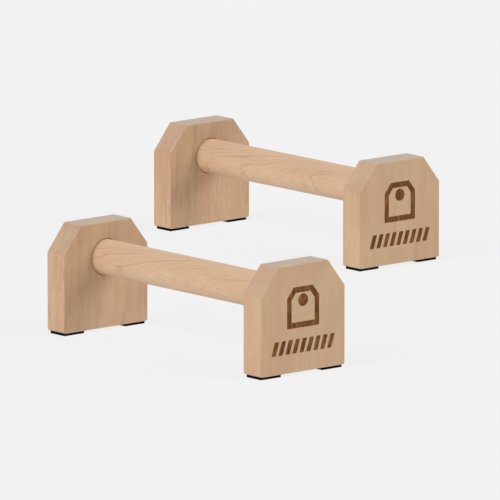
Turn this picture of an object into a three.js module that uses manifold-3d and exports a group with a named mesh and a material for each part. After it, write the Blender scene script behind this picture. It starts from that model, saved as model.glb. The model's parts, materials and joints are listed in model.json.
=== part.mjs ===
// A pair of low parallel bars (parallettes): two separate stands, each with a round beech grip bar let into
// two beech end blocks. Each block stands on two rubber pads, and a long screw from below holds the bar in it.
// Millimetres, +Z up. The bars run along X, and the floor is z = 0. The origin is on the floor, at the middle
// of the rectangle that holds both stands. Right and left are those of an athlete who faces +X.

import * as THREE from "three";
import { mergeVertices } from "three/addons/utils/BufferGeometryUtils.js";
import Module from "manifold-3d";

// The two stands on the floor
const BAR_SPACING = 500; // from one bar's centre line to the other's, along Y
const STAGGER = 405; // how far the right stand is ahead of the left one, along X

// End blocks
const STAND_LENGTH = 360; // from outer face to outer face
const BLOCK_WIDTH = 121;
const BLOCK_HEIGHT = 119;
const BLOCK_THICKNESS = 29.5;
const SLOPE_RUN = 24.5; // the part of the width that each sloping top corner takes
const SLOPE_DROP = 31; // the part of the height that it takes
const CORNER_RADIUS = 2.8; // of the outline, seen along the bar
const EDGE_EASING = 1.2; // of the edges round both faces
const EDGE_STEPS = 3;

// Rubber pads under the blocks
const PAD_THICKNESS = 3;
const PAD_LENGTH = 29; // across the stand
const PAD_INSET = 2.2; // from the block's faces
const PAD_CORNER_RADIUS = 1.5;

// Grip bar
const BAR_RADIUS = 20;
const BAR_AXIS_HEIGHT = 82.5; // above the floor
const BAR_END_CHAMFER = 1;
const SOCKET_DEPTH = 22; // of the blind hole in each block
const SOCKET_GAP = 0.35; // round the bar and at its end
const BAR_SIDES = 48;

// Countersunk wood screws, 5 x 70
const SCREW_LENGTH = 70;
const SCREW_RADIUS = 2.5;
const SCREW_POINT = 7; // the length of the point
const HEAD_RADIUS = 5;
const HEAD_RIM = 0.6; // the straight rim of the head
const HEAD_HEIGHT = 4; // the rim and the cone together
const HEAD_RECESS = 3; // how deep the head sits in the block
const SCREW_GAP = 0.35; // between the screw and the hole
const SCREW_SIDES = 24;

const CUT_PAST = 2; // how far a cutting solid stands out of the wood
const BLOCK_CENTRE = (STAND_LENGTH - BLOCK_THICKNESS) / 2; // from the stand's middle, along X
const SCREW_BASE = PAD_THICKNESS + HEAD_RECESS; // the head's flat end, above the floor

const wasm = await Module();
wasm.setup();

// A closed geometry as a solid that can be cut.
function toSolid(geometry) {
  const bare = geometry.clone();
  bare.deleteAttribute("normal");
  bare.deleteAttribute("uv");
  const merged = mergeVertices(bare, 1e-3);
  const vertProperties = merged.attributes.position.array;
  const triVerts = new Uint32Array(merged.index.array);
  return new wasm.Manifold(new wasm.Mesh({ numProp: 3, vertProperties, triVerts }));
}

function toGeometry(solid) {
  const { vertProperties, triVerts } = solid.getMesh();
  const geometry = new THREE.BufferGeometry();
  geometry.setAttribute("position", new THREE.BufferAttribute(vertProperties, 3));
  geometry.setIndex(new THREE.BufferAttribute(triVerts, 1));
  geometry.computeVertexNormals();
  return geometry;
}

function cut(geometry, ...cutters) {
  const whole = toSolid(geometry);
  return toGeometry(cutters.reduce((solid, cutter) => solid.subtract(toSolid(cutter)), whole));
}

// A polygon whose corners are rounded with a curve of about this radius.
function roundedShape(corners, radius) {
  const shape = new THREE.Shape();
  corners.forEach((corner, i) => {
    const before = corners.at(i - 1);
    const after = corners[(i + 1) % corners.length];
    const start = before.clone().sub(corner).setLength(radius).add(corner);
    const end = after.clone().sub(corner).setLength(radius).add(corner);
    if (i === 0) shape.moveTo(start.x, start.y);
    else shape.lineTo(start.x, start.y);
    shape.quadraticCurveTo(corner.x, corner.y, end.x, end.y);
  });
  shape.closePath();
  return shape;
}

// A turned solid along +X, from a profile of [distance along X, radius] that starts and ends on the axis.
function turnedAlongX(profile, sides) {
  const points = profile.map(([along, radius]) => new THREE.Vector2(radius, along));
  return new THREE.LatheGeometry(points, sides).rotateZ(-Math.PI / 2);
}

// The same along +Z.
function turnedAlongZ(profile, sides) {
  const points = profile.map(([along, radius]) => new THREE.Vector2(radius, along));
  return new THREE.LatheGeometry(points, sides).rotateX(Math.PI / 2);
}

// The screw's profile, larger all round by gap. It starts this far below the head's flat end.
function screwProfile(gap, below) {
  return [
    [-below, 0],
    [-below, HEAD_RADIUS + gap],
    [HEAD_RIM, HEAD_RADIUS + gap],
    [HEAD_HEIGHT, SCREW_RADIUS + gap],
    [SCREW_LENGTH - SCREW_POINT, SCREW_RADIUS + gap],
    [SCREW_LENGTH + gap, 0],
  ];
}

function screw() {
  return turnedAlongZ(screwProfile(0, 0), SCREW_SIDES);
}

// The hole for the screw, through the recess under its head and out of the wood.
function screwHole() {
  return turnedAlongZ(screwProfile(SCREW_GAP, HEAD_RECESS + CUT_PAST), SCREW_SIDES);
}

// The outline of an end block, seen along the bar: upright sides and two sloping top corners.
function blockOutline() {
  const side = BLOCK_WIDTH / 2;
  const shoulder = side - SLOPE_RUN;
  const half = [
    [side, 0],
    [side, BLOCK_HEIGHT - SLOPE_DROP],
    [shoulder, BLOCK_HEIGHT],
  ];
  const corners = [...half, ...half.toReversed().map(([y, z]) => [-y, z])];
  return roundedShape(corners.map(([y, z]) => new THREE.Vector2(y, z)), CORNER_RADIUS);
}

// A block whose middle is at x = 0 and whose bar side faces -X. Its wood starts at z = 0.
function endBlock() {
  const plain = new THREE.ExtrudeGeometry(blockOutline(), {
    depth: BLOCK_THICKNESS - 2 * EDGE_EASING,
    curveSegments: 4,
    bevelThickness: EDGE_EASING,
    bevelSize: EDGE_EASING,
    bevelOffset: -EDGE_EASING,
    bevelSegments: EDGE_STEPS,
  });
  plain.translate(0, 0, EDGE_EASING - BLOCK_THICKNESS / 2);
  const outlineToYZ = new THREE.Matrix4().makeBasis(
    new THREE.Vector3(0, 1, 0),
    new THREE.Vector3(0, 0, 1),
    new THREE.Vector3(1, 0, 0),
  );
  plain.applyMatrix4(outlineToYZ);

  const innerFace = -BLOCK_THICKNESS / 2;
  const socketRadius = BAR_RADIUS + SOCKET_GAP;
  const socketEnds = [innerFace - CUT_PAST, innerFace + SOCKET_DEPTH];
  const socket = turnedAlongX(
    [[socketEnds[0], 0], [socketEnds[0], socketRadius], [socketEnds[1], socketRadius], [socketEnds[1], 0]],
    BAR_SIDES,
  );
  socket.translate(0, 0, BAR_AXIS_HEIGHT - PAD_THICKNESS);
  const hole = screwHole().translate(0, 0, SCREW_BASE - PAD_THICKNESS);
  return cut(plain, socket, hole);
}

// A bar whose middle is the origin and whose axis is X, with a pilot hole for the screw near each end.
function gripBar() {
  const end = STAND_LENGTH / 2 - BLOCK_THICKNESS + SOCKET_DEPTH - SOCKET_GAP;
  const shoulder = end - BAR_END_CHAMFER;
  const rim = BAR_RADIUS - BAR_END_CHAMFER;
  const plain = turnedAlongX(
    [[-end, 0], [-end, rim], [-shoulder, BAR_RADIUS], [shoulder, BAR_RADIUS], [end, rim], [end, 0]],
    BAR_SIDES,
  );
  const pilotBase = SCREW_BASE - BAR_AXIS_HEIGHT;
  const pilots = [-1, 1].map((way) => screwHole().translate(way * BLOCK_CENTRE, 0, pilotBase));
  return cut(plain, ...pilots);
}

function pad() {
  const x = BLOCK_THICKNESS / 2 - PAD_INSET;
  const y = PAD_LENGTH / 2;
  const corners = [[x, -y], [x, y], [-x, y], [-x, -y]].map(([px, py]) => new THREE.Vector2(px, py));
  const shape = roundedShape(corners, PAD_CORNER_RADIUS);
  return new THREE.ExtrudeGeometry(shape, { depth: PAD_THICKNESS, curveSegments: 3, bevelEnabled: false });
}

const beech = () => new THREE.MeshStandardMaterial({ color: 0xcda586, roughness: 0.6, metalness: 0 });
const rubber = () => new THREE.MeshStandardMaterial({ color: 0x151515, roughness: 0.85, metalness: 0 });
const zincPlate = () => new THREE.MeshStandardMaterial({ color: 0xb5b2a8, roughness: 0.35, metalness: 1 });

function named(name, geometry, material, x, y, z) {
  const mesh = new THREE.Mesh(geometry, material);
  mesh.name = name;
  mesh.position.set(x, y, z);
  return mesh;
}

// One stand about its own middle. outward is the Y direction that points away from the other stand.
function stand(side, outward) {
  const group = new THREE.Group();
  group.add(named(`${side}_grip_bar`, gripBar(), beech(), 0, 0, BAR_AXIS_HEIGHT));
  const padCentre = BLOCK_WIDTH / 2 - PAD_INSET - PAD_LENGTH / 2;
  for (const [end, way] of [["front", 1], ["back", -1]]) {
    const x = way * BLOCK_CENTRE;
    const block = named(`${side}_${end}_block`, endBlock(), beech(), x, 0, PAD_THICKNESS);
    block.rotation.z = way > 0 ? 0 : Math.PI;
    group.add(block);
    group.add(named(`${side}_${end}_screw`, screw(), zincPlate(), x, 0, SCREW_BASE));
    for (const [place, direction] of [["outer", outward], ["inner", -outward]]) {
      group.add(named(`${side}_${end}_${place}_pad`, pad(), rubber(), x, direction * padCentre, 0));
    }
  }
  return group;
}

const parallelBars = new THREE.Group();
for (const [side, outward] of [["right", -1], ["left", 1]]) {
  const oneStand = stand(side, outward);
  oneStand.position.set((-outward * STAGGER) / 2, (outward * BAR_SPACING) / 2, 0);
  parallelBars.add(oneStand);
}

export default parallelBars;
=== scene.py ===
"""A pair of low wooden parallel bars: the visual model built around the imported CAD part.

Metres, +Z up, the bars along X, the floor at z = 0. Every piece stands in the box of the CAD node that it
replaces, and has its own origin, from which its shape and the pattern of its material are measured.
"""

import json
import math
import random

import bmesh
import bpy
from mathutils import Matrix, Vector

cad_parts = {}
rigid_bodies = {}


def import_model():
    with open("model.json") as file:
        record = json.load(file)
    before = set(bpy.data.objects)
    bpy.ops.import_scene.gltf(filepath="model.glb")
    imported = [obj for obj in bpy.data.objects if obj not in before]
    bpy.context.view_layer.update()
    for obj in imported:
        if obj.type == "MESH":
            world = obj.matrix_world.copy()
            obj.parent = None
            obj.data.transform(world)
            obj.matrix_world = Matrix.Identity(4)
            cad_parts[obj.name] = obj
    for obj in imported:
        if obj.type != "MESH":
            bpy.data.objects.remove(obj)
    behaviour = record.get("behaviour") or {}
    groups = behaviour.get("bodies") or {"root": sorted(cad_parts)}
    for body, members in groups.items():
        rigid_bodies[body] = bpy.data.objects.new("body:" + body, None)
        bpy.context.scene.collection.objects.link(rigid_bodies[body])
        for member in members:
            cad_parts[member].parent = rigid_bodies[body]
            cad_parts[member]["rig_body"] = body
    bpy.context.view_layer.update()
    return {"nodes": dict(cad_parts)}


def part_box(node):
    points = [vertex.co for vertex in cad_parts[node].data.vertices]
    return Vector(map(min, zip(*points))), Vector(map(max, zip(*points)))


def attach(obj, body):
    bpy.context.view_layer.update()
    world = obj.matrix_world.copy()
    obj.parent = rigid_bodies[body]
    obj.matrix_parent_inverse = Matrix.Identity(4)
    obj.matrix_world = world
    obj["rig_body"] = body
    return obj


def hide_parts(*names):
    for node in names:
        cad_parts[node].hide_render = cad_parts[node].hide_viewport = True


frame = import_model()

MM = 0.001

# End blocks
SLOPE_RUN = 24.5 * MM  # the part of the width that each sloping top corner takes
SLOPE_DROP = 31 * MM  # the part of the height that it takes
CORNER_RADIUS = 2.8 * MM  # of the outline, seen along the bar
EDGE_RADIUS = 1.2 * MM  # of the edges round both faces
ROUNDING_STEPS = 7  # faces across a rounded corner or edge

# The bar and its sockets
SOCKET_DEPTH = 22 * MM
SOCKET_GAP = 0.35 * MM
SOCKET_MOUTH = 0.4 * MM  # how far the socket's rim is broken
BAR_END_CHAMFER = 1 * MM
BAR_SIDES = 144

# The mark burnt into the outer faces: the end view of a stand, above a band of slanted strokes
MARK_DEPTH = 0.4 * MM
MARK_CORNER = 0.8 * MM
MARK_CORNER_STEPS = 4
EMBLEM_WIDTH = 46 * MM
EMBLEM_CENTRE = 71.5 * MM  # above the wood's underside
EMBLEM_STROKE = 6.4 * MM
EMBLEM_DISC_RADIUS = 7 * MM
EMBLEM_DISC_SIDES = 64
BAND_WIDTH = 91 * MM
BAND_HEIGHT = 15.5 * MM
BAND_CENTRE = 29 * MM
BAND_STROKES = 9
BAND_STROKE_WIDTH = 6 * MM
BAND_SLANT = math.radians(18)

# Rubber pads
PAD_CORNER_RADIUS = 1.5 * MM
PAD_EDGE_RADIUS = 0.35 * MM
PAD_EDGE_STEPS = 3

# Screws
HEAD_HEIGHT = 4 * MM
HEAD_RIM = 0.6 * MM
HEAD_EDGE = 0.2 * MM  # how far the edge of the head's flat end is broken
CORE_RADIUS = 1.75 * MM
THREAD_RADIUS = 2.5 * MM
THREAD_PITCH = 3 * MM
THREAD_STEPS = 12  # rings in each pitch
THREAD_FLANK = 0.24  # the part of a pitch that each side of the thread takes
THREAD_START = 26 * MM  # above the head's flat end
SCREW_POINT = 7 * MM
SCREW_TIP_RADIUS = 0.08 * MM
SCREW_SIDES = 36
SCREW_GAP = 0.35 * MM
HOLE_TIP_RADIUS = 0.1 * MM
DRIVE_RADIUS = 2.3 * MM
DRIVE_DEPTH = 2.2 * MM
DRIVE_LOBES = 6
DRIVE_LOBE_HEIGHT = 0.13  # as a part of the drive's radius
DRIVE_SIDES = 72

CUT_PAST = 2 * MM  # how far a cutter stands out of the piece
CREASE = math.radians(38)  # edges sharper than this stay crisp
THREAD_CREASE = math.radians(50)

# Sizes that the CAD part gives
block_low, block_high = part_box("right_front_block")
block_thickness, block_width, block_height = block_high - block_low
bar_low, bar_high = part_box("right_grip_bar")
bar_radius = (bar_high.z - bar_low.z) / 2
bar_height = (bar_high.z + bar_low.z) / 2 - block_low.z  # its axis, above the wood's underside

# Camera
CAMERA_AIM = Vector((0.1215, -0.1, 0.0815))
CAMERA_AZIMUTH = math.radians(49.08)
CAMERA_ELEVATION = math.radians(10.61)
CAMERA_DISTANCE = 13.297
CAMERA_REACH = 400  # how far it sees
CAMERA_LENS = 864  # millimetres, as is the sensor
CAMERA_SENSOR = 36

# Floor and light. A strength or level of 1 is that of a white sky, and a spread is in degrees.
FLOOR_SIZE = 400
FLOOR_ALBEDO = 0.08
FLOOR_GLOW = 0.809
ROOM_LEVEL = 0.04
BACKDROP_DIRECTION = Vector((-0.85, 0.3, 0.38))
BACKDROP_LEVEL = 0.62
BACKDROP_INNER = math.radians(25)  # from its middle to where it starts to fade
BACKDROP_OUTER = math.radians(60)  # from its middle to where it ends
SOFT_LIGHTS = {
    "right": dict(direction=(0.65, 0.53, 0.58), strength=0.625, spread=46),
    "left": dict(direction=(0.02, -0.785, 0.62), strength=0.76, spread=32),
}


def srgb(red, green, blue):
    """A display colour from 0 to 255 as the linear colour that a socket takes."""
    scaled = [value / 255 for value in (red, green, blue)]
    return (*(v / 12.92 if v <= 0.04045 else ((v + 0.055) / 1.055) ** 2.4 for v in scaled), 1.0)


# Colours
WOOD_PALE = srgb(209, 176, 138)
WOOD_PINK = srgb(206, 166, 132)
WOOD_BLEACHED = srgb(232, 207, 184)
WOOD_LATE = srgb(176, 134, 96)
WOOD_RAY = srgb(138, 98, 68)
# End grain's own darker tone, made darker and greyer as painted shade and a painted grey sheen on the tops
WOOD_END_SHADE_AND_SHEEN = srgb(187, 170, 158)
# Scorched wood for the mark; on the sockets' walls the same colours are painted shade
BURNT_DARK_AND_SHADE = srgb(92, 53, 18)
BURNT_LIGHT_AND_SHADE = srgb(140, 92, 44)
RUBBER = srgb(9, 9, 9)
RUBBER_DUSTY = srgb(26, 24, 23)
ZINC_YELLOW = srgb(214, 200, 160)
ZINC_DULL = srgb(190, 190, 186)

# How large the wood's patterns are, in millimetres: in two directions across the grain, and along it
GRAIN_WANDER = (70, 70, 260)
GRAIN_RIPPLE = (20, 20, 80)
UNEVEN_YEARS = (11, 11, 200)
FADED_YEARS = (12, 12, 80)
FIBRES = (0.45, 0.45, 16)
STREAKS = (1.4, 1.4, 27)
STREAK_PATCHES = (17, 17, 70)
BANDS = (9, 9, 90)
DRIFT = (34, 34, 90)
SCORCHED_PATCHES = (3.5, 3.5, 14)
RAYS = (22, 0.58, 4.2)  # out from the pith, round it and along the trunk

# How far the grain strays from a straight line, in millimetres
WANDER_REACH = 8
RIPPLE_REACH = 1.3

# How large the patterns of rubber and steel are, in millimetres along X, Y and Z
DIMPLES = (0.55, 0.55, 0.55)
DUST = (5, 5, 5)
ZINC_PATCHES = (2, 2, 4)
SCRATCHES = (0.08, 1.6, 1.6)

# How deep the roughness of each surface is
WOOD_RELIEF = 0.05 * MM
BURNT_RELIEF = 0.12 * MM
RUBBER_RELIEF = 0.08 * MM
STEEL_RELIEF = 0.01 * MM

# How far a piece's pattern may be moved along each axis, in millimetres
WOOD_SHIFT = 900
RUBBER_SHIFT = 500
STEEL_SHIFT = 500

# The tree that each wooden piece was cut from, as Grain takes it
TREES = {
    "right_grip_bar": ("X", (45, 20), (-0.13, 0.0)),
    "right_front_block": ("Z", (-30, 105), (0.012, 0.0)),
    "right_back_block": ("Z", (25, -95), (-0.02, 0.045)),
    "left_grip_bar": ("X", (48, 14), (-0.14, 0.01)),
    "left_front_block": ("Z", (-45, 120), (0.01, 0.01)),
    "left_back_block": ("Z", (20, -110), (0.02, 0.035)),
}

# What beech takes for the bars and for the blocks at each end
BAR_LOOK = dict(ring_spacing=2.9, ringed=0.5, streaked=0.2, flecked=0.12, bleached=0.27, shine=0.15)
BLOCK_LOOKS = {
    "front": dict(ring_spacing=3.1, ringed=0.14, streaked=0.32, flecked=0.46, bleached=0.0, shine=0.5),
    "back": dict(ring_spacing=3.1, ringed=0.2, streaked=0.62, flecked=0.42, bleached=0.0, shine=0.5),
}


# ---------------------------------------------------------------- meshes

def mesh_object(name, bm):
    """A new object in the scene that holds bm."""
    bmesh.ops.recalc_face_normals(bm, faces=bm.faces)
    mesh = bpy.data.meshes.new(name)
    bm.to_mesh(mesh)
    bm.free()
    piece = bpy.data.objects.new(name, mesh)
    bpy.context.scene.collection.objects.link(piece)
    return piece


def add_rings(bm, rings, closed=False):
    """Adds a skin over rings of as many points each. Its ends get a face each, or are joined if closed."""
    rows = [[bm.verts.new(point) for point in ring] for ring in rings]
    pairs = list(zip(rows, rows[1:]))
    if closed:
        pairs.append((rows[-1], rows[0]))
    else:
        bm.faces.new(rows[0])
        bm.faces.new(rows[-1])
    for low, high in pairs:
        for i in range(len(low)):
            j = (i + 1) % len(low)
            bm.faces.new((low[i], low[j], high[j], high[i]))


def skin(rings):
    bm = bmesh.new()
    add_rings(bm, rings)
    return bm


def rounded_outline(corners, radius, steps):
    """(point, outward normal) pairs round a convex polygon, counter-clockwise, with arcs at its corners."""
    pairs = []
    for i, corner in enumerate(corners):
        into = (corner - corners[i - 1]).normalized()
        away = (corners[(i + 1) % len(corners)] - corner).normalized()
        turn = into.angle(away)
        first = Vector((into.y, -into.x))
        centre = corner - into * radius * math.tan(turn / 2) - first * radius
        for step in range(steps + 1):
            angle = turn * step / steps
            normal = Vector((
                first.x * math.cos(angle) - first.y * math.sin(angle),
                first.x * math.sin(angle) + first.y * math.cos(angle),
            ))
            pairs.append((centre + normal * radius, normal))
    return pairs


def inset_corners(corners, distance):
    """The corners of the polygon whose sides lie this far inside those of a convex polygon."""
    inner = []
    for i, corner in enumerate(corners):
        into = (corner - corners[i - 1]).normalized()
        away = (corners[(i + 1) % len(corners)] - corner).normalized()
        sides = Vector((into.y, -into.x)), Vector((away.y, -away.x))
        inner.append(corner - (sides[0] + sides[1]) * distance / (1 + sides[0].dot(sides[1])))
    return inner


def block_corners(width, height, run, drop):
    """The outline of an end block from the bottom right corner, counter-clockwise, as (across, up)."""
    half = width / 2
    right = [(half, 0), (half, height - drop), (half - run, height)]
    left = [(-across, up) for across, up in reversed(right)]
    return [Vector(corner) for corner in right + left]


def eased_prism(outline, depth, radius, steps, place):
    """The outline extruded over depth, its end edges rounded. place turns (u, v, along) into a point."""
    levels = [math.pi / 2 * step / steps for step in range(steps + 1)]
    insets = [(radius * (1 - math.sin(level)), radius * (1 - math.cos(level))) for level in levels]
    insets += [(inset, depth - along) for inset, along in reversed(insets)]
    rings = []
    for inset, along in insets:
        rings.append([place(*(point - normal * inset), along) for point, normal in outline])
    return skin(rings)


def turned(profile, sides, place):
    """A solid of revolution from [(distance along the axis, radius)], with no point straight across or up."""
    angles = [2 * math.pi * (i + 0.5) / sides for i in range(sides)]
    rings = []
    for along, radius in profile:
        rings.append([place(radius * math.cos(a), radius * math.sin(a), along) for a in angles])
    return skin(rings)


def along_x(y, z, along):
    return Vector((along, y, z))


def along_z(x, y, along):
    return Vector((x, y, along))


def foot(node):
    """The middle of the underside of a CAD node's box."""
    low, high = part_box(node)
    return Vector(((low.x + high.x) / 2, (low.y + high.y) / 2, low.z))


def apply_modifiers(piece):
    evaluated = piece.evaluated_get(bpy.context.evaluated_depsgraph_get())
    mesh = bpy.data.meshes.new_from_object(evaluated)
    piece.modifiers.clear()
    piece.data = mesh


def carve(piece, *cutters):
    """Cuts the cutters out of the piece. The faces that a cutter makes take its material."""
    for cutter in cutters:
        boolean = piece.modifiers.new("cut", "BOOLEAN")
        boolean.solver = "EXACT"
        boolean.material_mode = "TRANSFER"
        boolean.object = cutter
    apply_modifiers(piece)
    for cutter in cutters:
        bpy.data.objects.remove(cutter)


def finish_shading(piece, crease=CREASE):
    """Triangles, shaded smoothly. Flat faces look flat, and edges sharper than the crease stay crisp."""
    bm = bmesh.new()
    bm.from_mesh(piece.data)
    bmesh.ops.triangulate(bm, faces=bm.faces, ngon_method="BEAUTY")
    for face in bm.faces:
        face.smooth = True
    for edge in bm.edges:
        edge.smooth = len(edge.link_faces) == 2 and edge.calc_face_angle() < crease
    bm.to_mesh(piece.data)
    bm.free()
    weighted = piece.modifiers.new("weighted", "WEIGHTED_NORMAL")
    weighted.keep_sharp = True
    apply_modifiers(piece)


# ---------------------------------------------------------------- material nodes

class Graph:
    """A node tree, with short ways to add and link nodes. A value is a number, a tuple or a socket."""

    def __init__(self, tree):
        self.tree = tree

    def add(self, kind, **settings):
        node = self.tree.nodes.new(kind)
        for key, value in settings.items():
            setattr(node, key, value)
        return node

    def feed(self, socket, value):
        if isinstance(value, bpy.types.NodeSocket):
            self.tree.links.new(value, socket)
        else:
            socket.default_value = value

    def feed_all(self, node, *values):
        for socket, value in zip(node.inputs, values):
            self.feed(socket, value)
        return node.outputs[0]

    def math(self, operation, *values):
        return self.feed_all(self.add("ShaderNodeMath", operation=operation), *values)

    def product(self, value, *others):
        for other in others:
            value = self.math("MULTIPLY", value, other)
        return value

    def vector(self, operation, *values):
        return self.feed_all(self.add("ShaderNodeVectorMath", operation=operation), *values)

    def dot(self, a, b):
        node = self.add("ShaderNodeVectorMath", operation="DOT_PRODUCT")
        self.feed_all(node, a, b)
        return node.outputs["Value"]

    def length(self, vector):
        return self.math("SQRT", self.dot(vector, vector))

    def split(self, vector):
        node = self.add("ShaderNodeSeparateXYZ")
        self.feed(node.inputs[0], vector)
        return tuple(node.outputs)

    def join(self, x, y, z):
        return self.feed_all(self.add("ShaderNodeCombineXYZ"), x, y, z)

    def millimetres(self):
        """Where a point of the piece is from the piece's origin, in millimetres."""
        scaled = self.vector("SCALE", self.add("ShaderNodeTexCoord").outputs["Object"])
        scaled.node.inputs["Scale"].default_value = 1 / MM
        return scaled

    def noise(self, vector, size, detail, roughness=0.5):
        """Noise from about 0 to 1. size is how far across its lumps are, one number for each axis."""
        node = self.add("ShaderNodeTexNoise")
        self.feed(node.inputs["Vector"], self.vector("DIVIDE", vector, size))
        node.inputs["Scale"].default_value = 1.0
        node.inputs["Detail"].default_value = detail
        node.inputs["Roughness"].default_value = roughness
        return node.outputs[0]

    def sway(self, vector, size, detail, reach):
        """The same noise from about -reach to reach."""
        return self.math("MULTIPLY_ADD", self.noise(vector, size, detail), 2 * reach, -reach)

    def cells(self, vector, size):
        """The distance to the middle of the nearest of many cells of that size, and its random number."""
        node = self.add("ShaderNodeTexVoronoi")
        self.feed(node.inputs["Vector"], self.vector("DIVIDE", vector, size))
        node.inputs["Scale"].default_value = 1.0
        return node.outputs["Distance"], self.split(node.outputs["Color"])[0]

    def ramp(self, value, low, high, to_low=0.0, to_high=1.0):
        """to_low where value is at or under low, to_high where it is at or over high, and smooth between."""
        node = self.add("ShaderNodeMapRange", interpolation_type="SMOOTHSTEP")
        return self.feed_all(node, value, low, high, to_low, to_high)

    def mix(self, factor, a, b):
        """The colour a where factor is 0, b where it is 1."""
        node = self.add("ShaderNodeMix", data_type="RGBA")
        # Of all the sockets that a mix node has, these are the ones that it mixes colours with.
        for index, value in ((0, factor), (6, a), (7, b)):
            self.feed(node.inputs[index], value)
        return node.outputs[2]

    def bump(self, height, distance):
        """A normal for a surface that this height, from 0 to 1, lifts by up to distance metres."""
        node = self.add("ShaderNodeBump")
        self.feed(node.inputs["Height"], height)
        node.inputs["Distance"].default_value = distance
        return node.outputs[0]


class Surface(Graph):
    """The nodes of a new material."""

    def __init__(self, name):
        self.material = bpy.data.materials.new(name)
        self.material.use_nodes = True
        super().__init__(self.material.node_tree)
        self.tree.nodes.clear()
        self.shader = self.add("ShaderNodeBsdfPrincipled")
        output = self.add("ShaderNodeOutputMaterial")
        self.tree.links.new(self.shader.outputs["BSDF"], output.inputs["Surface"])

    def set(self, **sockets):
        """Sets sockets of the shader, with _ for a space in their names."""
        for name, value in sockets.items():
            self.feed(self.shader.inputs[name.replace("_", " ")], value)


def random_shift(seed, reach):
    """An offset of up to reach along each axis, so that no two pieces show the same part of a pattern."""
    draw = random.Random(seed)
    return tuple(draw.uniform(-reach, reach) for _ in range(3))


# ---------------------------------------------------------------- wood

class Grain:
    """The pattern of a piece cut from a beech trunk, worked out through the whole of the solid.

    A tree is (grain, pith, lean). grain is the piece's axis that the trunk ran along, "X" or "Z". pith is
    where the trunk's middle is from the piece's origin, in the two directions across the grain, and lean is
    how far it leans in each. All lengths are in millimetres.
    """

    def __init__(self, graph, tree, seed):
        grain, pith, lean = tree
        self.graph = graph
        x, y, z = graph.split(graph.millimetres())
        u, v, along = (x, y, z) if grain == "Z" else (y, z, x)
        u = graph.math("MULTIPLY_ADD", along, lean[0], u)
        v = graph.math("MULTIPLY_ADD", along, lean[1], v)
        shift = random_shift(seed, WOOD_SHIFT)
        straight = graph.vector("ADD", graph.join(u, v, along), shift)
        u = graph.math("ADD", u, graph.sway(straight, GRAIN_WANDER, 1, WANDER_REACH))
        v = graph.math("ADD", v, graph.sway(straight, GRAIN_RIPPLE, 2, RIPPLE_REACH))
        self.place = graph.vector("ADD", graph.join(u, v, along), shift)

        u = graph.math("SUBTRACT", u, pith[0])
        v = graph.math("SUBTRACT", v, pith[1])
        outwards = graph.join(u, v, 0.0)
        self.radius = graph.length(outwards)
        self.around = graph.math("MULTIPLY", graph.math("ARCTAN2", v, u), math.hypot(*pith))
        self.along = along
        x, y, z = graph.split(graph.add("ShaderNodeTexCoord").outputs["Normal"])
        normal = graph.join(x, y, z) if grain == "Z" else graph.join(y, z, x)
        self.end_grain = graph.ramp(graph.math("ABSOLUTE", graph.split(normal)[2]), 0.42, 0.97)
        across_rings = graph.math("ABSOLUTE", graph.dot(normal, graph.vector("NORMALIZE", outwards)))
        self.flat_sawn = graph.ramp(across_rings, 0.35, 0.95)

    def late_wood(self, spacing):
        """The thin darker line at the end of each year's growth, weak in some years and strong in others."""
        graph = self.graph
        uneven = graph.sway(self.place, UNEVEN_YEARS, 2, reach=1.2)
        years = graph.math("ADD", graph.math("DIVIDE", self.radius, spacing), uneven)
        within = graph.math("FRACT", years)
        line = graph.product(graph.ramp(within, 0.45, 0.94), graph.ramp(within, 0.94, 1.0, 1.0, 0.0))
        year = graph.add("ShaderNodeTexWhiteNoise", noise_dimensions="1D")
        graph.feed(year.inputs["W"], graph.math("FLOOR", years))
        strength = graph.ramp(year.outputs["Value"], 0.1, 1.0, 0.3, 1.0)
        fading = graph.ramp(graph.noise(self.place, FADED_YEARS, 2), 0.35, 0.62, 0.35, 1.0)
        return graph.product(strength, fading, line)

    def rays(self):
        """Rays: thin blades from the pith outwards. They end in dark ticks on a flat-sawn face, and lie as
        faint flakes in a face that looks round the trunk."""
        graph = self.graph
        spread = graph.join(self.radius, self.around, self.along)
        distance, number = graph.cells(spread, RAYS)
        spot = graph.ramp(distance, 0.12, 0.36, 1.0, 0.0)
        some = graph.ramp(number, 0.3, 0.8, 1.0, 0.0)
        return graph.product(spot, some, graph.ramp(self.flat_sawn, 0.0, 1.0, 0.14, 1.0))

    def fibres(self):
        return self.graph.noise(self.place, FIBRES, 3, 0.6)

    def streaks(self):
        """Fine dark dashes, thick in some patches and few in others."""
        graph = self.graph
        dashes = graph.ramp(graph.noise(self.place, STREAKS, 2, 0.6), 0.46, 0.72)
        patches = graph.ramp(graph.noise(self.place, STREAK_PATCHES, 2), 0.38, 0.62, 0.15, 1.0)
        return graph.product(dashes, patches)

    def bands(self):
        return self.graph.noise(self.place, BANDS, 2)

    def drift(self):
        return self.graph.noise(self.place, DRIFT, 2)


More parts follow.
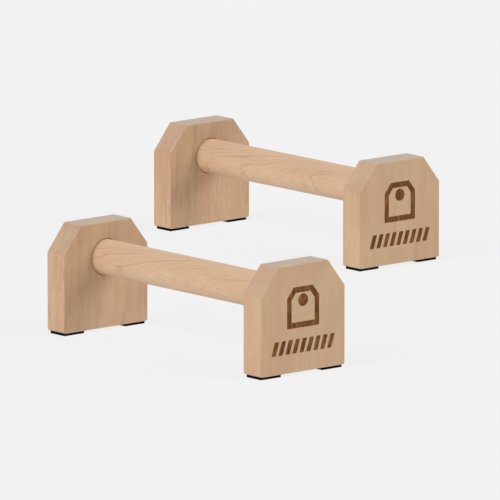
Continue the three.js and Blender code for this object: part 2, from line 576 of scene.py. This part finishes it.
def beech(name, tree, seed, ring_spacing, ringed, streaked, flecked, bleached, shine):
    """Pale oiled beech, finely sanded. The last five numbers are how strong its growth rings, streaks and ray
    flecks are, how much paler it is than the rest, and how much it shines.
    """
    graph = Surface(name)
    wood = Grain(graph, tree, seed)
    late = wood.late_wood(ring_spacing)
    rays = wood.rays()
    fibres = wood.fibres()
    streaks = wood.streaks()

    colour = graph.mix(graph.ramp(wood.drift(), 0.35, 0.65, 0.0, 1 - bleached), WOOD_PALE, WOOD_PINK)
    colour = graph.mix(bleached, colour, WOOD_BLEACHED)
    colour = graph.mix(graph.ramp(wood.bands(), 0.42, 0.75, 0.0, 0.5 * streaked), colour, WOOD_LATE)
    colour = graph.mix(graph.product(late, ringed), colour, WOOD_LATE)
    colour = graph.mix(graph.product(streaks, streaked), colour, WOOD_LATE)
    colour = graph.mix(graph.ramp(fibres, 0.5, 0.85, 0.0, 0.3), colour, WOOD_LATE)
    colour = graph.mix(graph.product(rays, flecked), colour, WOOD_RAY)
    # Faces across the grain, like the blocks' tops: end grain's tone plus painted shade and a painted sheen
    colour = graph.mix(graph.product(wood.end_grain, 0.7), colour, WOOD_END_SHADE_AND_SHEEN)

    height = graph.math("ADD", graph.product(fibres, 0.7), graph.product(rays, -0.5))
    graph.set(
        Base_Color=colour,
        Roughness=graph.ramp(fibres, 0.2, 0.8, 0.42, 0.54),
        Normal=graph.bump(height, WOOD_RELIEF),
        Specular_IOR_Level=shine,
        Diffuse_Roughness=0.3,
    )
    return graph.material


def burnt_beech_and_shade(name, tree, seed, ring_spacing):
    """The same wood, scorched: soft early wood burns darker than the late wood. The mark takes it, and the
    sockets' walls take it as painted shade, a dark line round each bar.
    """
    graph = Surface(name)
    wood = Grain(graph, tree, seed)
    patches = graph.noise(wood.place, SCORCHED_PATCHES, 3, 0.6)
    late = graph.product(wood.late_wood(ring_spacing), 0.35)
    pale = graph.math("ADD", graph.ramp(patches, 0.35, 0.7), late)
    fibres = wood.fibres()
    colour = graph.mix(pale, BURNT_DARK_AND_SHADE, BURNT_LIGHT_AND_SHADE)
    colour = graph.mix(graph.ramp(fibres, 0.45, 0.8, 0.0, 0.5), colour, BURNT_DARK_AND_SHADE)
    graph.set(
        Base_Color=colour,
        Roughness=0.8,
        Normal=graph.bump(fibres, BURNT_RELIEF),
        Specular_IOR_Level=0.25,
    )
    return graph.material


# ---------------------------------------------------------------- rubber and steel

def sheet_rubber(name, seed):
    """Black sheet rubber with a fine moulded texture and a little dust."""
    graph = Surface(name)
    place = graph.vector("ADD", graph.millimetres(), random_shift(seed, RUBBER_SHIFT))
    dimples, _ = graph.cells(place, DIMPLES)
    dust = graph.ramp(graph.noise(place, DUST, 4, 0.65), 0.5, 0.8)
    graph.set(
        Base_Color=graph.mix(graph.product(dust, 0.5), RUBBER, RUBBER_DUSTY),
        Roughness=graph.ramp(dust, 0.0, 1.0, 0.72, 0.9),
        Normal=graph.bump(dimples, RUBBER_RELIEF),
        Specular_IOR_Level=0.06,
    )
    return graph.material


def plated_steel(name, seed):
    """Yellowish zinc plate, dulled in patches and scratched by the driver."""
    graph = Surface(name)
    place = graph.vector("ADD", graph.millimetres(), random_shift(seed, STEEL_SHIFT))
    patches = graph.noise(place, ZINC_PATCHES, 3, 0.6)
    scratches = graph.noise(place, SCRATCHES, 2)
    graph.set(
        Base_Color=graph.mix(graph.ramp(patches, 0.3, 0.7), ZINC_YELLOW, ZINC_DULL),
        Metallic=1.0,
        Roughness=graph.ramp(scratches, 0.3, 0.7, 0.24, 0.42),
        Normal=graph.bump(scratches, STEEL_RELIEF),
    )
    return graph.material


# ---------------------------------------------------------------- pieces

def stand_in_for(node, piece):
    """Puts the piece on the body of the CAD node that it replaces."""
    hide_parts(node)
    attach(piece, frame["nodes"][node]["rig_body"])


def screw_cutter(screw_node, origin, material):
    """The screw's hole, out through the wood below it, about the origin of the piece that it is cut from."""
    low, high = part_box(screw_node)
    head_radius = (high.x - low.x) / 2
    length = high.z - low.z
    profile = [
        (-low.z - CUT_PAST, head_radius + SCREW_GAP),
        (HEAD_RIM, head_radius + SCREW_GAP),
        (HEAD_HEIGHT, THREAD_RADIUS + SCREW_GAP),
        (length - SCREW_POINT, THREAD_RADIUS + SCREW_GAP),
        (length + SCREW_GAP, HOLE_TIP_RADIUS),
    ]
    cutter = mesh_object("screw_cutter", turned(profile, SCREW_SIDES, along_z))
    cutter.data.transform(Matrix.Translation(foot(screw_node) - origin))
    cutter.data.materials.append(material)
    return cutter


def mark_cutter(face, material):
    """The emblem and the band, as solids that reach MARK_DEPTH behind the plane x = face."""
    bm = bmesh.new()
    back, front = face - MARK_DEPTH, face + CUT_PAST

    def ring(points, x):
        return [along_x(*point, x) for point in points]

    def solid(points):
        add_rings(bm, [ring(points, back), ring(points, front)])

    scale = EMBLEM_WIDTH / block_width
    height = block_height * scale
    lift = Vector((0, EMBLEM_CENTRE - height / 2))
    outer = block_corners(EMBLEM_WIDTH, height, SLOPE_RUN * scale, SLOPE_DROP * scale)
    outside, inside = (
        [point + lift for point, _ in rounded_outline(corners, MARK_CORNER, MARK_CORNER_STEPS)]
        for corners in (outer, inset_corners(outer, EMBLEM_STROKE))
    )
    rings = [ring(outside, back), ring(outside, front), ring(inside, front), ring(inside, back)]
    add_rings(bm, rings, closed=True)

    disc_height = lift.y + bar_height * scale
    angles = [2 * math.pi * i / EMBLEM_DISC_SIDES for i in range(EMBLEM_DISC_SIDES)]
    radius = EMBLEM_DISC_RADIUS
    solid([Vector((radius * math.cos(a), disc_height + radius * math.sin(a))) for a in angles])

    lean = BAND_HEIGHT / 2 * math.tan(BAND_SLANT)
    reach = (BAND_WIDTH - BAND_STROKE_WIDTH) / 2 - lean
    for i in range(BAND_STROKES):
        middle = reach * (2 * i / (BAND_STROKES - 1) - 1)
        corners = [
            Vector((middle + side * BAND_STROKE_WIDTH / 2 + end * lean, BAND_CENTRE + end * BAND_HEIGHT / 2))
            for side, end in ((-1, -1), (1, -1), (1, 1), (-1, 1))
        ]
        solid([point for point, _ in rounded_outline(corners, MARK_CORNER, MARK_CORNER_STEPS)])

    cutter = mesh_object("mark_cutter", bm)
    cutter.data.materials.append(material)
    return cutter


def end_block(node, screw_node, way, wood, burnt_and_shade):
    """A block about its own middle, on its underside, with its bar side facing -X before it is turned."""
    origin = foot(node)
    corners = block_corners(block_width, block_height, SLOPE_RUN, SLOPE_DROP)
    outline = rounded_outline(corners, CORNER_RADIUS, ROUNDING_STEPS)
    bm = eased_prism(outline, block_thickness, EDGE_RADIUS, ROUNDING_STEPS, along_x)
    bmesh.ops.translate(bm, verts=bm.verts, vec=(-block_thickness / 2, 0, 0))
    piece = mesh_object(node + "_wood", bm)
    piece.data.materials.append(wood)

    inner = -block_thickness / 2
    radius = bar_radius + SOCKET_GAP
    profile = [
        (inner - CUT_PAST, radius + SOCKET_MOUTH),
        (inner, radius + SOCKET_MOUTH),
        (inner + SOCKET_MOUTH, radius),
        (inner + SOCKET_DEPTH, radius),
    ]
    socket = mesh_object("socket_cutter", turned(profile, BAR_SIDES, along_x))
    socket.data.transform(Matrix.Translation((0, 0, bar_height)))
    # The socket's walls take the scorched wood: painted shade, the dark line of the gap round the bar
    socket.data.materials.append(burnt_and_shade)
    carve(piece, socket, screw_cutter(screw_node, origin, wood), mark_cutter(block_thickness / 2, burnt_and_shade))
    finish_shading(piece)
    piece.location = origin
    piece.rotation_euler.z = 0 if way > 0 else math.pi
    return piece


def grip_bar(node, screw_nodes, wood):
    low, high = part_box(node)
    origin = (low + high) / 2
    half = (high.x - low.x) / 2
    profile = [(-half, bar_radius - BAR_END_CHAMFER), (-half + BAR_END_CHAMFER, bar_radius)]
    profile += [(-along, radius) for along, radius in reversed(profile)]
    piece = mesh_object(node + "_wood", turned(profile, BAR_SIDES, along_x))
    piece.data.materials.append(wood)
    carve(piece, *(screw_cutter(screw_node, origin, wood) for screw_node in screw_nodes))
    finish_shading(piece)
    piece.location = origin
    return piece


def pad(node, rubber):
    low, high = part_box(node)
    length, width, thickness = high - low
    x, y = length / 2, width / 2
    corners = [Vector(corner) for corner in ((x, -y), (x, y), (-x, y), (-x, -y))]
    outline = rounded_outline(corners, PAD_CORNER_RADIUS, ROUNDING_STEPS)
    bm = eased_prism(outline, thickness, PAD_EDGE_RADIUS, PAD_EDGE_STEPS, along_z)
    piece = mesh_object(node + "_rubber", bm)
    piece.data.materials.append(rubber)
    finish_shading(piece)
    piece.location = foot(node)
    return piece


def thread_radius(angle, height, length):
    """How far the screw's surface is from its axis: a thin raised thread on the core, and then the point."""
    to_point = min(1, (length - height) / SCREW_POINT)
    phase = (height / THREAD_PITCH - angle / (2 * math.pi)) % 1
    crest = max(0, 1 - abs(phase - 0.5) / THREAD_FLANK)
    grown = min(1, max(0, (height - THREAD_START) / THREAD_PITCH))
    crest_height = (THREAD_RADIUS - CORE_RADIUS) * crest * grown
    return max(SCREW_TIP_RADIUS, (CORE_RADIUS + crest_height) * to_point)


def drive_cutter(material):
    """The six-lobe recess in a screw's head, whose flat end is at z = 0."""
    lobes = []
    for i in range(DRIVE_SIDES):
        angle = 2 * math.pi * i / DRIVE_SIDES
        radius = DRIVE_RADIUS * (1 + DRIVE_LOBE_HEIGHT * math.cos(DRIVE_LOBES * angle))
        lobes.append((radius * math.cos(angle), radius * math.sin(angle)))
    bore = skin([[along_z(x, y, height) for x, y in lobes] for height in (-CUT_PAST, DRIVE_DEPTH)])
    cutter = mesh_object("drive_cutter", bore)
    cutter.data.materials.append(material)
    return cutter


def screw(node, steel):
    """A screw with its point up. Its head and shank are turned, and its thread has a ring at each step."""
    low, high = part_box(node)
    length = high.z - low.z
    head_radius = (high.x - low.x) / 2
    angles = [2 * math.pi * i / SCREW_SIDES for i in range(SCREW_SIDES)]
    plain = [(0, head_radius - HEAD_EDGE), (HEAD_EDGE, head_radius), (HEAD_RIM, head_radius)]
    plain += [(HEAD_HEIGHT, CORE_RADIUS), (THREAD_START, CORE_RADIUS)]
    rings = [[along_z(r * math.cos(a), r * math.sin(a), height) for a in angles] for height, r in plain]
    steps = THREAD_STEPS * round((length - THREAD_START) / THREAD_PITCH)
    for step in range(1, steps + 1):
        height = THREAD_START + (length - THREAD_START) * step / steps
        radii = [thread_radius(a, height, length) for a in angles]
        rings.append([along_z(r * math.cos(a), r * math.sin(a), height) for r, a in zip(radii, angles)])
    piece = mesh_object(node + "_steel", skin(rings))
    piece.data.materials.append(steel)
    carve(piece, drive_cutter(steel))
    finish_shading(piece, THREAD_CREASE)
    piece.location = foot(node)
    return piece


def build_stand(side, bar_seed):
    """The pieces of one stand. A seed sets the pattern of the bar, and the next two those of its ends."""
    bar_node = f"{side}_grip_bar"
    bar_wood = beech(f"{bar_node}_beech", TREES[bar_node], bar_seed, **BAR_LOOK)
    screw_nodes = []
    for end, way, seed in (("front", 1, bar_seed + 1), ("back", -1, bar_seed + 2)):
        name = f"{side}_{end}"
        block_node = f"{name}_block"
        screw_node = f"{name}_screw"
        screw_nodes.append(screw_node)
        look = BLOCK_LOOKS[end]
        wood = beech(f"{block_node}_beech", TREES[block_node], seed, **look)
        burnt_and_shade = burnt_beech_and_shade(f"{block_node}_burnt", TREES[block_node], seed, look["ring_spacing"])
        stand_in_for(block_node, end_block(block_node, screw_node, way, wood, burnt_and_shade))
        stand_in_for(screw_node, screw(screw_node, plated_steel(f"{name}_steel", seed)))
        for place in ("outer", "inner"):
            pad_node = f"{name}_{place}_pad"
            stand_in_for(pad_node, pad(pad_node, sheet_rubber(f"{name}_{place}_rubber", seed)))
    stand_in_for(bar_node, grip_bar(bar_node, screw_nodes, bar_wood))


# ---------------------------------------------------------------- floor, light and camera

def floor():
    """A pale floor that glows a little, as over a light table, so that shadows on it are faint."""
    bpy.ops.mesh.primitive_plane_add(size=FLOOR_SIZE, location=(0, 0, 0))
    plane = bpy.context.active_object
    plane.name = "floor"
    graph = Surface("floor")
    graph.set(
        Base_Color=(FLOOR_ALBEDO, FLOOR_ALBEDO, FLOOR_ALBEDO, 1),
        Roughness=1.0,
        Specular_IOR_Level=0.0,
        Emission_Color=(1, 1, 1, 1),
        Emission_Strength=FLOOR_GLOW,
    )
    plane.data.materials.append(graph.material)


def surroundings():
    """A dim room with a large white backdrop behind the stands."""
    world = bpy.data.worlds.new("studio")
    world.use_nodes = True
    graph = Graph(world.node_tree)
    direction = graph.add("ShaderNodeTexCoord").outputs["Generated"]
    facing = graph.dot(direction, tuple(BACKDROP_DIRECTION.normalized()))
    level = graph.ramp(facing, math.cos(BACKDROP_OUTER), math.cos(BACKDROP_INNER), ROOM_LEVEL, BACKDROP_LEVEL)
    background = graph.tree.nodes["Background"]
    background.inputs["Color"].default_value = (1, 1, 1, 1)
    graph.feed(background.inputs["Strength"], level)
    bpy.context.scene.world = world


def soft_light(name, direction, strength, spread):
    """Light from far away in a direction, whose source spreads over this many degrees."""
    light = bpy.data.lights.new(name, "SUN")
    light.energy = strength * math.pi
    light.angle = math.radians(spread)
    lamp = bpy.data.objects.new(name, light)
    bpy.context.scene.collection.objects.link(lamp)
    lamp.rotation_euler = Vector(direction).to_track_quat("Z", "Y").to_euler()


def camera():
    data = bpy.data.cameras.new("camera")
    data.lens = CAMERA_LENS
    data.sensor_width = CAMERA_SENSOR
    data.clip_end = CAMERA_REACH
    eye = bpy.data.objects.new("camera", data)
    bpy.context.scene.collection.objects.link(eye)
    back = Vector((
        math.sin(CAMERA_AZIMUTH) * math.cos(CAMERA_ELEVATION),
        -math.cos(CAMERA_AZIMUTH) * math.cos(CAMERA_ELEVATION),
        math.sin(CAMERA_ELEVATION),
    ))
    eye.location = CAMERA_AIM + back * CAMERA_DISTANCE
    eye.rotation_euler = back.to_track_quat("Z", "Y").to_euler()
    bpy.context.scene.camera = eye


build_stand("right", 1)
build_stand("left", 13)

floor()
surroundings()
for name, settings in SOFT_LIGHTS.items():
    soft_light(name, **settings)
camera()
bpy.context.scene.view_settings.view_transform = "Standard"
